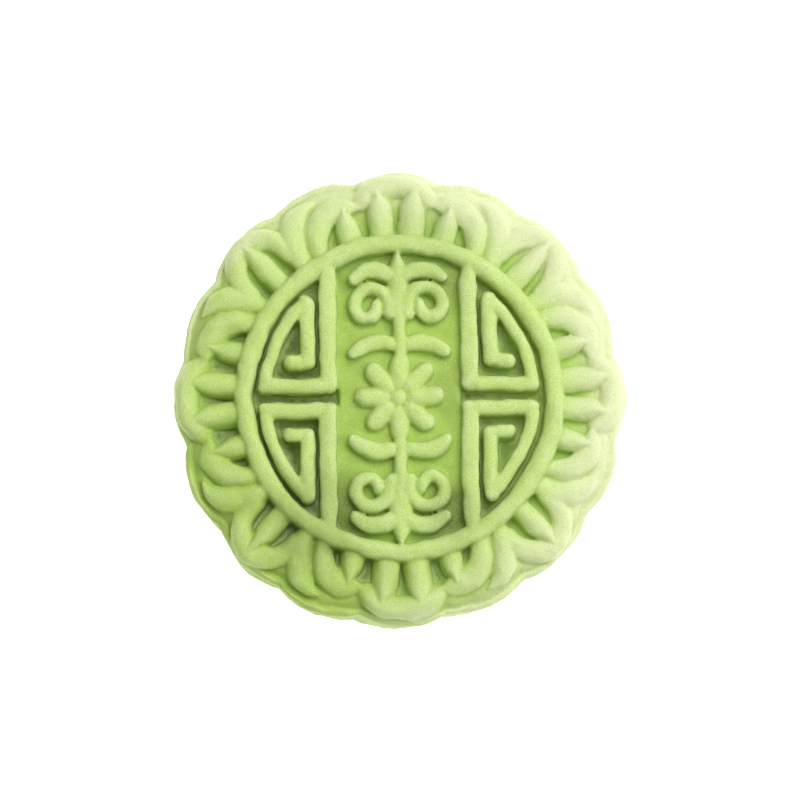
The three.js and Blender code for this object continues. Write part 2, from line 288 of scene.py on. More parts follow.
@dataclass(frozen=True)
class DoughFinish:
    """Steamed rice dough: pale and floury on its crests, greener where flour doesn't reach. Its colour also
    holds painted light: painted highlights on the crests, the upper right side and the outer rim, and
    painted shade in hollows, creases, deep floors, the lower left and a few round patches.

    Depths and creases are in millimetres, and places and patterns in metres. A pair called a range, a
    side or a radius says where something begins and where it is full. A pair called a share says what
    it goes from and to as the other thing comes in.
    """

    # Pale of flour, and also a painted highlight: the upper right side and the outer rim are painted paler
    # as if lit.
    pale_flour_and_light: Colour = (0.915, 0.922, 0.775)
    # Flour on the crests, paler there also as a painted highlight.
    crest_flour_highlight: Colour = (0.915, 0.93, 0.82)
    skin: Colour = (0.77, 0.865, 0.48)
    sunken: Colour = (0.66, 0.77, 0.34)
    # Painted shade on the deep floors of the cells and the panel, with a lighter tone next to their walls.
    crevice: Colour = (0.79, 0.875, 0.54)
    deep: Colour = (0.365, 0.455, 0.195)
    patch_shade: Colour = (0.45, 0.54, 0.23)

    grain: Pattern = Pattern(0.0002, 2.0, 0.6)
    blotch: Pattern = Pattern(0.004, 3.0)
    patch: Pattern = Pattern(0.016, 1.0)
    pit: Pattern = Pattern(0.0011, 2.0)
    grain_depth: float = 0.00003
    pit_depth: float = 0.00002
    pit_range: Point = (0.3, 0.45)

    # Low places are painted darker and greener: painted shade, and less flour there.
    sunken_range: Point = (0.3, 2.0)
    sunken_share_lit_side: Point = (1.0, 0.15)
    sunken_share_rim: Point = (1.0, 0.4)
    # Creases are painted darker: painted shade, partly less flour.
    groove_range: Point = (-0.01, 0.12)
    groove_share_lit_side: Point = (0.85, 0.35)
    # Floors below this depth get painted shade, less of it on the right side.
    deep_range: Point = (2.5, 3.5)
    deep_shade_side: Point = (0.009, 0.018)
    deep_shade_share_side: Point = (1.0, 0.7)
    crevice_share: float = 0.6

    flour_parts: Point = (0.7, 0.3)
    flour_range: Point = (0.36, 0.64)
    crest_range: Point = (-0.14, -0.01)
    flour_share_crest: Point = (0.35, 0.95)
    patch_range: Point = (0.35, 0.65)
    flour_share_patch: Point = (0.6, 1.1)
    # Flour is painted thicker towards the upper right, partly as a painted highlight.
    flour_lit_side: Point = (-0.03, 0.03)
    flour_share_lit_side: Point = (0.7, 1.1)
    # Deepens the painted shade towards the lower left of the border.
    southwest_shade_drift: float = 18.0
    shade_drift_radius: Point = (0.024, 0.028)

    # The upper right side is painted paler, as if lit from there: partly flour, partly painted highlight.
    lit_side_way: Point = (0.92, 0.38)
    lit_side_range: Point = (-0.035, 0.036)
    lit_side_fray: float = 0.012
    lit_side_radius: Point = (0.0255, 0.034)
    lit_side_most: float = 0.9
    # The outer rim, except on the lower left, is painted paler: a painted highlight over shade that the
    # lights leave there, partly flour.
    rim_highlight_way: Point = (0.75, 0.66)
    rim_highlight_side: Point = (-0.032, -0.02)
    rim_highlight_radius: Point = (0.0345, 0.0366)
    rim_highlight_most: float = 0.75

    # Round patches of painted shade on the band and the panel.
    shade_patches: tuple[ShadePatch, ...] = (
        ShadePatch(-0.0135, -0.0195, 0.0115, 1.0),
        ShadePatch(0.0085, -0.0195, 0.0065, 1.0),
        ShadePatch(0.009, 0.001, 0.006, 0.3),
        ShadePatch(0.0085, 0.0185, 0.006, 0.3),
        ShadePatch(0.004, 0.0245, 0.012, 0.35),
    )
    shade_core: float = 0.3
    shade_fray: float = 0.004
    shade_share_sunken: Point = (0.35, 1.0)
    speck_range: Point = (0.32, 0.52)
    speck_most: float = 0.4
    fleck_range: Point = (0.5, 0.7)
    fleck_share_sunken: Point = (0.22, 0.32)

    roughness: float = 0.62
    roughness_spread: float = 0.12
    glow: float = 0.25
    glow_reach: Triple = (1.0, 0.85, 0.3)
    glow_scale: float = 0.0013
    refraction: float = 1.4
    shine: float = 0.35
    sheen: float = 0.08
    sheen_roughness: float = 0.5

    def material(self) -> bpy.types.Material:
        """Build the dough material.

        Returns:
            The finished material.
        """
        tree = ShaderTree("snow_skin_dough")
        grain = tree.noise(self.grain)
        pits = tree.noise(self.pit).between(*self.pit_range)
        return tree.surface(
            {
                "Base Color": self._colour(tree, grain),
                "Roughness": self.roughness + self.roughness_spread * (grain - NOISE_MEAN),
                "Normal": tree.bump(pits, self.pit_depth, tree.bump(grain, self.grain_depth)),
                "Subsurface Weight": self.glow,
                "Subsurface Radius": self.glow_reach,
                "Subsurface Scale": self.glow_scale,
                "IOR": self.refraction,
                "Specular IOR Level": self.shine,
                "Sheen Weight": self.sheen,
                "Sheen Roughness": self.sheen_roughness,
            }
        )

    def _colour(self, tree: ShaderTree, grain: Signal) -> bpy.types.NodeSocket:
        """Colour the dough by its depth, its creases and the flour on it, with painted shade in low places
        and creases and painted highlights on the crests, the upper right side and the rim.

        Args:
            tree: The material's tree.
            grain: The fine grain of the dough.

        Returns:
            The colour's socket.
        """
        x, y = tree.across()
        out = (x * x + y * y) ** 0.5
        blotch = tree.noise(self.blotch)
        frayed = blotch - NOISE_MEAN
        # Painted highlight: paler towards the upper right, partly flour and partly painted light.
        aside = x * self.lit_side_way[0] + y * self.lit_side_way[1]
        pale_flour_and_light = (aside + frayed * self.lit_side_fray).between(*self.lit_side_range)
        pale_flour_and_light = pale_flour_and_light * out.between(*self.lit_side_radius)
        # Painted highlight on the outer rim, away from the lower left.
        rim = (x * self.rim_highlight_way[0] + y * self.rim_highlight_way[1]).between(*self.rim_highlight_side)
        rim = rim * out.between(*self.rim_highlight_radius) * (1 - pale_flour_and_light)
        # Painted shade: deeper places turn darker, and the lower left of the border more so; partly less
        # flour.
        depth = tree.marked(DEPTH) - (x + y) * self.southwest_shade_drift * out.between(*self.shade_drift_radius)
        sunk_shade = depth.between(*self.sunken_range)
        sunk_shade = sunk_shade * pale_flour_and_light.onto(*self.sunken_share_lit_side) * rim.onto(*self.sunken_share_rim)
        # Painted shade in the creases.
        groove_shade = tree.marked(CREASE).between(*self.groove_range)
        flour = self._flour(tree, grain, blotch)
        # More flour-pale towards the upper right: partly flour, partly painted highlight.
        flour = flour * aside.between(*self.flour_lit_side).onto(*self.flour_share_lit_side)
        colour = tree.mixed(flour, linear(*self.skin), linear(*self.crest_flour_highlight))
        colour = tree.mixed(pale_flour_and_light * self.lit_side_most, colour, linear(*self.pale_flour_and_light))
        colour = tree.mixed(rim * self.rim_highlight_most, colour, linear(*self.pale_flour_and_light))
        colour = tree.mixed(sunk_shade, colour, linear(*self.sunken))
        colour = tree.mixed(groove_shade * pale_flour_and_light.onto(*self.groove_share_lit_side), colour, linear(*self.sunken))
        # Painted shade patches, stronger in low places.
        shade_weight = sunk_shade.onto(*self.shade_share_sunken)
        for patch in self.shade_patches:
            away = ((x - patch.x) ** 2 + (y - patch.y) ** 2) ** 0.5 + frayed * self.shade_fray
            patch_shade = 1 - away.between(self.shade_core * patch.radius, patch.radius)
            colour = tree.mixed(patch_shade * patch.share * shade_weight, colour, linear(*self.patch_shade))
        # Painted shade on the deep floors: lighter next to their walls, and less on the right.
        floor = tree.mixed(groove_shade * self.crevice_share, linear(*self.deep), linear(*self.crevice))
        low = depth.between(*self.deep_range) * (1 - pale_flour_and_light)
        low = low * x.between(*self.deep_shade_side).onto(*self.deep_shade_share_side)
        colour = tree.mixed(low, colour, floor)
        specks = (1 - grain.between(*self.speck_range)) * self.speck_most
        colour = tree.mixed(specks, colour, linear(*self.sunken))
        flecks = grain.between(*self.fleck_range) * sunk_shade.onto(*self.fleck_share_sunken)
        return tree.mixed(flecks, colour, linear(*self.pale_flour_and_light))

    def _flour(self, tree: ShaderTree, grain: Signal, blotch: Signal) -> Signal:
        """Spread flour over the dough, thickest on its crests, where it also stands as a painted highlight.

        Args:
            tree: The material's tree.
            grain: The fine grain of the dough.
            blotch: The coarse grain of the dough.

        Returns:
            How much flour lies at each place.
        """
        spread = (grain * self.flour_parts[0] + blotch * self.flour_parts[1]).between(*self.flour_range)
        proud = 1 - tree.marked(CREASE).between(*self.crest_range)
        patchy = tree.noise(self.patch).between(*self.patch_range)
        return spread * proud.onto(*self.flour_share_crest) * patchy.onto(*self.flour_share_patch)


@dataclass(frozen=True)
class TableFinish:
    """A plain matt white table."""

    colour: Colour = (0.97, 0.97, 0.97)
    grain: Pattern = Pattern(0.002, 2.0)
    roughness: float = 0.85
    roughness_spread: float = 0.04
    glow_colour: Colour = (1.0, 1.0, 1.0)
    glow: float = 1.0

    def material(self) -> bpy.types.Material:
        """Build the table material.

        Returns:
            The finished material.
        """
        tree = ShaderTree("white_table")
        return tree.surface(
            {
                "Base Color": linear(*self.colour),
                "Roughness": self.roughness + tree.noise(self.grain) * self.roughness_spread,
                "Emission Color": linear(*self.glow_colour),
                "Emission Strength": self.glow,
            }
        )


def deselect() -> None:
    """Let go of every object."""
    bpy.ops.object.select_all(action="DESELECT")


def take(pieces: list[bpy.types.Object]) -> None:
    """Select these objects alone and make the first one active.

    Args:
        pieces: The objects.
    """
    deselect()
    for piece in pieces:
        piece.select_set(True)
    bpy.context.view_layer.objects.active = pieces[0]


@contextmanager
def editing(piece: bpy.types.Object) -> Iterator[None]:
    """Hold one object in edit mode, with all of it selected.

    Args:
        piece: The object.
    """
    take([piece])
    bpy.ops.object.mode_set(mode="EDIT")
    bpy.ops.mesh.select_mode(type="VERT")
    bpy.ops.mesh.select_all(action="SELECT")
    yield
    bpy.ops.object.mode_set(mode="OBJECT")


def pick(piece: bpy.types.Object, wanted: Callable[[Vector], bool]) -> None:
    """Select the vertices at wanted places of the object in edit mode.

    Args:
        piece: The object in edit mode.
        wanted: Says whether a vertex at a place is selected.
    """
    bpy.ops.mesh.select_all(action="DESELECT")
    bpy.ops.object.mode_set(mode="OBJECT")
    for vertex in piece.data.vertices:
        vertex.select = wanted(vertex.co)
    bpy.ops.object.mode_set(mode="EDIT")


def modify(piece: bpy.types.Object, kind: str, **settings: Any) -> None:
    """Add a modifier and apply it.

    Args:
        piece: The object.
        kind: The modifier's type.
        **settings: The modifier's settings.
    """
    take([piece])
    bpy.ops.object.modifier_add(type=kind)
    modifier = piece.modifiers[-1]
    for name, value in settings.items():
        setattr(modifier, name, value)
    bpy.ops.object.modifier_apply(modifier=modifier.name)


def smooth(piece: bpy.types.Object, passes: int, **settings: Any) -> None:
    """Smooth a mesh this many times over, half of the way each time."""
    modify(piece, "SMOOTH", factor=0.5, iterations=passes, **settings)


def join(pieces: list[bpy.types.Object], name: str) -> bpy.types.Object:
    """Join objects into the first one.

    Args:
        pieces: The objects.
        name: The name of the result.

    Returns:
        The joined object.
    """
    take(pieces)
    if len(pieces) > 1:
        bpy.ops.object.join()
    pieces[0].name = name
    return pieces[0]


def copy(piece: bpy.types.Object) -> bpy.types.Object:
    """Copy an object with its mesh.

    Args:
        piece: The object.

    Returns:
        The copy.
    """
    take([piece])
    bpy.ops.object.duplicate()
    return bpy.context.object


def mirrored(piece: bpy.types.Object, scale: Triple) -> bpy.types.Object:
    """Copy an object and mirror the copy through the axis of the cake.

    Args:
        piece: The object.
        scale: -1 for each axis that is mirrored and 1 for the others.

    Returns:
        The mirrored copy.
    """
    made = copy(piece)
    with editing(made):
        bpy.ops.transform.resize(value=scale, center_override=(0, 0, 0))
        bpy.ops.mesh.normals_make_consistent(inside=False)
    return made


def turned(piece: bpy.types.Object, angle: float) -> bpy.types.Object:
    """Copy an object and turn the copy about the axis of the cake.

    Args:
        piece: The object.
        angle: The turn, counter-clockwise from above, in degrees.

    Returns:
        The turned copy.
    """
    made = copy(piece)
    with editing(made):
        turn_selected(math.radians(angle), (0, 0, 0))
    return made


def turn_selected(angle: float, centre: Triple) -> None:
    """Turn what is selected about an upright axis, counter-clockwise from above."""
    bpy.ops.transform.rotate(value=-angle, orient_axis="Z", center_override=centre)


# Heights of the pressed top, in millimetres.
CAKE_HEIGHT = 32.0
GROUND = 28.7
FOOT = 26.4


def polar(*places: Point) -> tuple[Point, ...]:
    """Turn places given by an angle, clockwise from +Y in degrees, and a radius into plain points."""
    return tuple((r * math.sin(math.radians(a)), r * math.cos(math.radians(a))) for a, r in places)


def arched(middle: float, *half: Point) -> tuple[Point, ...]:
    """Turn one half of an arch, as angles off its middle and radii, into the points of both halves."""
    before = ((middle - off, radius) for off, radius in half)
    return polar(*before, *((middle + off, radius) for off, radius in reversed(half[:-1])))


def both_halves(*half: float) -> tuple[float, ...]:
    """Repeat the values along one half of an arch backwards for its other half."""
    return (*half, *reversed(half[:-1]))


def bearing(place: Vector) -> int:
    """Give a place's whole degree about the cake's axis, counter-clockwise from +X."""
    return int(math.degrees(math.atan2(place.y, place.x)) % FULL_TURN) % FULL_TURN


class Ending(Enum):
    """How a rope of dough ends."""

    ROUND = "round at both ends"
    SQUARE = "cut off square at both ends"
    LEAF = "full at the root, and drawn in to a point at the tip"


@dataclass(frozen=True)
class Station:
    """One section of a rope: its place, its heading counter-clockwise from +Y, half width and rise."""

    place: Vector
    heading: float
    half_width: float
    rise: float


class PlanLine:
    """A smooth line seen from above, with a half width and a rise all along it."""

    STEPS = 24

    def __init__(
        self, points: tuple[Point, ...], half_widths: tuple[float, ...], rises: tuple[float, ...]
    ) -> None:
        """Measure the line.

        Args:
            points: The points that it passes through, in millimetres.
            half_widths: Its half width at each point.
            rises: Its rise at each point.
        """
        ends = [Vector((*p, w, h)) for p, w, h in zip(points, half_widths, rises, strict=True)]
        self.samples = [ends[0]]
        for i in range(len(ends) - 1):
            before, after = ends[max(i - 1, 0)], ends[min(i + 2, len(ends) - 1)]
            for step in range(1, self.STEPS + 1):
                self.samples.append(self._between(before, ends[i], ends[i + 1], after, step / self.STEPS))
        self.reached = [0.0]
        for a, b in pairwise(self.samples):
            self.reached.append(self.reached[-1] + (b - a).xy.length)

    @staticmethod
    def _between(before: Vector, start: Vector, end: Vector, after: Vector, share: float) -> Vector:
        """Give a point of one stretch.

        Args:
            before: The point before the stretch.
            start: Its first point.
            end: Its last point.
            after: The point after it.
            share: How far along the stretch, from 0 to 1.

        Returns:
            The point.
        """
        go_in, go_out = (end - before) / 2, (after - start) / 2
        s2, s3 = share * share, share**3
        return (
            start * (2 * s3 - 3 * s2 + 1)
            + go_in * (s3 - 2 * s2 + share)
            + end * (3 * s2 - 2 * s3)
            + go_out * (s3 - s2)
        )

    @property
    def length(self) -> float:
        """The line's length in millimetres."""
        return self.reached[-1]

    def at(self, along: float) -> Station:
        """Find a place on the line.

        Args:
            along: The share of its length, from 0 to 1.

        Returns:
            The full section there.
        """
        want = clamp(along) * self.length
        i = next((k for k, r in enumerate(self.reached) if r >= want and k > 0), 1)
        a, b = self.samples[i - 1], self.samples[i]
        share = (want - self.reached[i - 1]) / (self.reached[i] - self.reached[i - 1])
        step, here = b - a, a.lerp(b, share)
        return Station(here.xy, math.atan2(-step.x, step.y), here[2], here[3])


@dataclass(frozen=True)
class Rope:
    """A raised stroke of dough, in millimetres, with a half width and a rise at each of its points."""

    line: tuple[Point, ...]
    half_width: tuple[float, ...]
    rise: tuple[float, ...]
    ending: Ending = Ending.ROUND
    ground: float = GROUND
    roundness: float = 0.96
    fullness: float = 0.5
    flare: float = 1.2
    shoulder: float = 0.5

    SPACING = 0.6
    FEWEST_STEPS = 8
    END_ANGLES = (8, 22, 38, 56, 74, 90)
    END_FALL = 0.4
    BEVEL_STEPS = 6
    MOST_ROUNDING = 0.9
    LEAF_TIP = 0.985
    LEAF_TAPER = 2.1
    LEAF_DIP = 0.08

    def stations(self) -> list[Station]:
        """List the rope's sections.

        Returns:
            The sections, from its start to its end.
        """
        line = PlanLine(self.line, self.half_width, self.rise)
        count = max(int(line.length / self.SPACING), self.FEWEST_STEPS)
        if self.ending is Ending.SQUARE:
            return [line.at(i / count) for i in range(count + 1)]
        if self.ending is Ending.LEAF:
            places = [i / count for i in range(count)] + [self.LEAF_TIP]
            return [self._drawn_in(line.at(s), s) for s in places]
        reach = self.half_width[0] / line.length, self.half_width[-1] / line.length
        turns = [math.radians(a) for a in self.END_ANGLES]
        opening = [self._rounded(line.at(reach[0] * (1 - math.cos(t))), t) for t in turns]
        closing = [self._rounded(line.at(1 - reach[1] * (1 - math.cos(t))), t) for t in reversed(turns)]
        inner = 1 - reach[0] - reach[1]
        count = max(int(inner * line.length / self.SPACING), 1)
        middle = [line.at(reach[0] + inner * i / count) for i in range(1, count)]
        return opening + middle + closing

    def _rounded(self, full: Station, turn: float) -> Station:
        """Narrow a section near a round end, with the turn of the end from 0 to a right angle."""
        width, rise = full.half_width * math.sin(turn), full.rise * math.sin(turn) ** self.END_FALL
        return replace(full, half_width=width, rise=rise)

    def _drawn_in(self, full: Station, along: float) -> Station:
        """Narrow a section of a leaf towards its tip.

        Args:
            full: The section at its full width and rise.
            along: How far along the leaf it stands, from 0 to 1.

        Returns:
            The narrowed section.
        """
        drawn_in = max(along - self.shoulder, 0) / (1 - self.shoulder)
        width = full.half_width * (1 - drawn_in**self.LEAF_TAPER)
        return replace(full, half_width=width, rise=full.rise * (1 - self.LEAF_DIP * drawn_in**3))

    def build(self, name: str) -> bpy.types.Object:
        """Pull the rope's section along its line.

        Args:
            name: The object's name.

        Returns:
            The rope, rooted below its ground.
        """
        rope = self.section(name)
        before = Station(Vector((0, 0)), 0.0, self.half_width[0], self.rise[0])
        with editing(rope):
            for i, station in enumerate(self.stations()):
                step = (*(station.place - before.place), 0)
                if i:
                    bpy.ops.mesh.extrude_region_move(TRANSFORM_OT_translate={"value": step})
                else:
                    bpy.ops.transform.translate(value=step)
                centre = (*station.place, self.ground)
                turn_selected(station.heading - before.heading, centre)
                wider = station.half_width / before.half_width
                size = (wider, wider, station.rise / before.rise)
                bpy.ops.transform.resize(value=size, center_override=centre)
                before = station
            bpy.ops.mesh.select_all(action="SELECT")
            bpy.ops.mesh.normals_make_consistent(inside=False)
        return rope

    def section(self, name: str) -> bpy.types.Object:
        """Make the rope's first upright section, across the middle of the cake.

        Args:
            name: The object's name.

        Returns:
            The section as a flat face with a round top.
        """
        deselect()
        half, top = self.half_width[0], self.ground + self.rise[0]
        middle = (0, 0, (FOOT + top) / 2)
        bpy.ops.mesh.primitive_plane_add(size=1, location=middle, rotation=(math.pi / 2, 0, 0))
        section = bpy.context.object
        section.name = name
        bpy.ops.object.transform_apply(location=True, rotation=True, scale=True)
        with editing(section):
            size = (2 * half, 1, top - FOOT)
            bpy.ops.transform.resize(value=size, center_override=middle)
            pick(section, lambda place: place.z > middle[2])
            rounding = min(self.roundness * half, self.MOST_ROUNDING * (top - FOOT))
            bpy.ops.mesh.bevel(
                affect="VERTICES", offset=rounding, segments=self.BEVEL_STEPS, profile=self.fullness
            )
            pick(section, lambda place: place.z < FOOT + TOUCH)
            bpy.ops.transform.resize(value=(self.flare, 1, 1), center_override=(0, 0, 0))
        return section


@dataclass
class CakeBody:
    """The cake without its relief: a scalloped disc with a soft lip round sunken ground."""

    lobes: int = 16
    radius: float = 37.5
    notch_depth: float = 1.2
    notch_reach: float = 20.0
    wall_taper: float = 1.2
    base_rounding: float = 3.0
    wall_height: float = 27.9
    top: tuple[Point, ...] = (
        (0.12, 28.4), (0.35, 28.75), (0.6, 28.9), (0.85, 28.85), (1.15, 28.65),
        (1.5, 28.95), (2.2, 29.5), (3.2, 29.7), (4.2, 29.35), (5.2, 28.85),
        (6.4, 28.45), (8.0, 28.25), (11.2, 28.1),
    )
    stretch: Point = (1.004, 1.014)
    offset: Point = (0.17, -0.15)
    lean: Point = (-1.25, -0.5)
    press_tilt: float = 0.018
    press_way: Point = (0.5, 0.45)
    press_foot: float = 28.0
    press_radius: float = 36.7
    floor_tilt: float = 0.1
    floor_radius: Point = (26.0, 33.5)
    columns: int = 192

    def build(self) -> bpy.types.Object:
        """Turn the disc, draw in its notches and lean it a little, as it left its mould.

        Returns:
            The cake's body.
        """
        deselect()
        low = self.radius - self.wall_taper
        wall_top = self.wall_height
        bpy.ops.mesh.primitive_cylinder_add(
            vertices=self.columns, radius=low, depth=wall_top, location=(0, 0, wall_top / 2)
        )
        body = bpy.context.object
        body.name = "cake_body"
        bpy.ops.object.transform_apply(location=True, rotation=True, scale=True)
        with editing(body):
            self._round_base(body)
            pick(body, lambda place: place.z > wall_top - TOUCH)
            self._widen(self.radius / low)
            self._raise_top(wall_top)
            self._draw_in_notches(body)
            pick(body, lambda place: place.z < self.base_rounding + TOUCH)
            bpy.ops.transform.translate(value=(*self.lean, 0))
            bpy.ops.mesh.select_all(action="SELECT")
            bpy.ops.transform.resize(value=(*self.stretch, 1), center_override=(0, 0, 0))
            bpy.ops.transform.translate(value=(*self.offset, 0))
            bpy.ops.mesh.normals_make_consistent(inside=False)
        self._tilt_floor(body)
        return body

    def _tilt_floor(self, body: bpy.types.Object) -> None:
        """Tilt the pressed top up to the upper right, and the border's floor there a little more.

        Args:
            body: The cake's body.
        """
        for vertex in body.data.vertices:
            place, out = vertex.co, vertex.co.xy.length
            if place.z > self.press_foot and out < self.press_radius:
                lift = self.press_tilt * (self.press_way[0] * place.x + self.press_way[1] * place.y)
                if self.floor_radius[0] < out < self.floor_radius[1]:
                    lift += self.floor_tilt * max(place.x + place.y, 0) / out / math.sqrt(2)
                vertex.co.z += lift

    def _round_base(self, body: bpy.types.Object) -> None:
        """Round the edge that the cake stands on."""
        pick(body, lambda place: place.z < TOUCH)
        bpy.ops.mesh.bevel(affect="EDGES", offset=self.base_rounding, segments=6, profile=0.5)

    @staticmethod
    def _widen(times: float) -> None:
        """Widen or narrow what is selected about the cake's axis."""
        bpy.ops.transform.resize(value=(times, times, 1), center_override=(0, 0, 0))

    def _raise_top(self, wall_top: float) -> None:
        """Draw the top face in steps over the lip and down to the ground.

        Args:
            wall_top: The height that the top face starts from.
        """
        steps = [(self.radius - inside, height) for inside, height in self.top]
        radius, height = self.radius, wall_top
        for next_radius, next_height in steps:
            rise = (0, 0, next_height - height)
            bpy.ops.mesh.extrude_region_move(TRANSFORM_OT_translate={"value": rise})
            self._widen(next_radius / radius)
            radius, height = next_radius, next_height

    def _draw_in_notches(self, body: bpy.types.Object) -> None:
        """Draw the side in between two lobes, one row of columns after another.

        Args:
            body: The cake's body in edit mode.
        """
        lobe = 2 * math.pi / self.lobes

        def off_middle(place: Vector) -> int:
            """Count the columns from a place to the middle of its lobe."""
            share = math.atan2(place.y, place.x) / lobe
            return round(abs(share - round(share)) * self.columns / self.lobes)

        for row in range(1, self.columns // self.lobes // 2 + 1):
            share = 2 * row * self.lobes / self.columns
            pick(body, lambda place: place.xy.length > self.notch_reach and off_middle(place) == row)
            self._widen(1 - self.notch_depth * share**2 / self.radius)


@dataclass
class RoundBand:
    """The round band between the border and the middle."""

    radius: float = 25.6
    width: float = 3.2
    roundness: float = 0.9
    flare: float = 1.12
    steps: int = 128

    def build(self) -> bpy.types.Object:
        """Spin the band's section about the axis of the cake.

        Returns:
            The band.
        """
        half_widths, rises = (self.width / 2,) * 2, (CAKE_HEIGHT - GROUND,) * 2
        rope = Rope(((0, 0), (0, 1)), half_widths, rises, roundness=self.roundness, flare=self.flare)
        band = rope.section("round_band")
        with editing(band):
            bpy.ops.transform.translate(value=(self.radius, 0, 0))
            bpy.ops.mesh.spin(
                steps=self.steps, angle=2 * math.pi, center=(0, 0, 0), axis=(0, 0, 1), use_auto_merge=True
            )
            bpy.ops.mesh.select_all(action="SELECT")
            bpy.ops.mesh.remove_doubles(threshold=0.001)
            bpy.ops.mesh.delete_loose()
            bpy.ops.mesh.normals_make_consistent(inside=False)
        return band


@dataclass
class RaisedPanel:
    """The raised ground under the flower ornament, highest in its middle."""

    half_width: float = 10.6
    reach: float = 24.0
    rises: tuple[float, ...] = (0.2, 0.75, 1.15, 1.25, 1.15, 0.75, 0.2)
    roundness: float = 0.07

    def build(self) -> bpy.types.Object:
        """Pull the panel's flat section from its lower end to its upper end.

        Returns:
            The panel.
        """
        last = len(self.rises) - 1
        line = tuple((0.0, self.reach * (2 * i / last - 1)) for i in range(last + 1))
        half_widths = (self.half_width,) * (last + 1)
        rope = Rope(line, half_widths, self.rises, Ending.SQUARE, roundness=self.roundness)
        return rope.build("raised_panel")


@dataclass
class Fretwork:
    """The four corners of fretwork between the round band and the panel."""

    height: float = 31.8
    upright_x: float = 11.6
    upright_top: float = 23.2
    upright_width: float = 2.8
    upright_shares: tuple[float, ...] = (0.6, 0.85, 1, 1, 1)
    upright_step: float = 3.0
    upright_lean: float = 0.15
    sill_y: float = 2.0
    sill_width: float = 2.6
    bow_radius: float = 22.0
    bow_width: float = 2.05
    bow_steps: int = 6
    inner_x: float = 14.95
    inner_width: float = 2.45
    hook_y: float = 6.0
    hook_end: float = 19.1
    hook_width: float = 2.35
    roundness: float = 0.85
    flare: float = 1.12
    stretch: float = 1.01
    offset: float = -0.1

    def _bar(self, name: str, line: tuple[Point, ...], *widths: float) -> bpy.types.Object:
        """Build one bar.

        Args:
            name: The bar's name.
            line: The line that it follows.
            *widths: Its width at each point of the line, or one width for them all.

        Returns:
            The bar.
        """
        if len(widths) == 1:
            widths *= len(line)
        rises = (self.height - GROUND,) * len(line)
        half_widths = tuple(width / 2 for width in widths)
        return Rope(line, half_widths, rises, roundness=self.roundness, flare=self.flare).build(name)

    def _corner(self) -> bpy.types.Object:
        """Build the corner on the +X, +Y side.

        Returns:
            The corner.
        """
        start = math.asin(self.sill_y / self.bow_radius)
        end = math.acos(self.inner_x / self.bow_radius)
        angles = [start + (end - start) * i / self.bow_steps for i in range(self.bow_steps + 1)]
        bow = tuple((self.bow_radius * math.cos(a), self.bow_radius * math.sin(a)) for a in angles)
        sill_end = self.bow_radius * math.cos(start) + self.bow_width / 2
        inner_top = self.bow_radius * math.sin(end) + self.inner_width / 2
        foot = self.sill_y - self.sill_width / 2
        inner_foot = self.hook_y - self.hook_width / 2
        x, top, step = self.upright_x, self.upright_top, self.upright_step
        upright = (
            (x + self.upright_lean, top),
            (x, top - step),
            (x, top - 2 * step),
            (x, foot + step),
            (x, foot),
        )
        widths = tuple(self.upright_width * share for share in self.upright_shares)
        pieces = [
            self._bar("upright", upright, *widths),
            self._bar("sill", ((x, self.sill_y), (sill_end, self.sill_y)), self.sill_width),
            self._bar("bow", bow, self.bow_width),
            self._bar("inner", ((self.inner_x, inner_top), (self.inner_x, inner_foot)), self.inner_width),
            self._bar("hook", ((self.inner_x, self.hook_y), (self.hook_end, self.hook_y)), self.hook_width),
        ]
        return join(pieces, "fret_corner")

    def build(self) -> bpy.types.Object:
        """Build one corner and mirror it into the other three.

        Returns:
            The fretwork.
        """
        corner = self._corner()
        others = [mirrored(corner, scale) for scale in ((-1, 1, 1), (1, -1, 1), (-1, -1, 1))]
        fretwork = join([corner, *others], "fretwork")
        with editing(fretwork):
            bpy.ops.transform.resize(value=(self.stretch, 1, 1), center_override=(0, 0, 0))
            bpy.ops.transform.translate(value=(self.offset, 0, 0))
        return fretwork


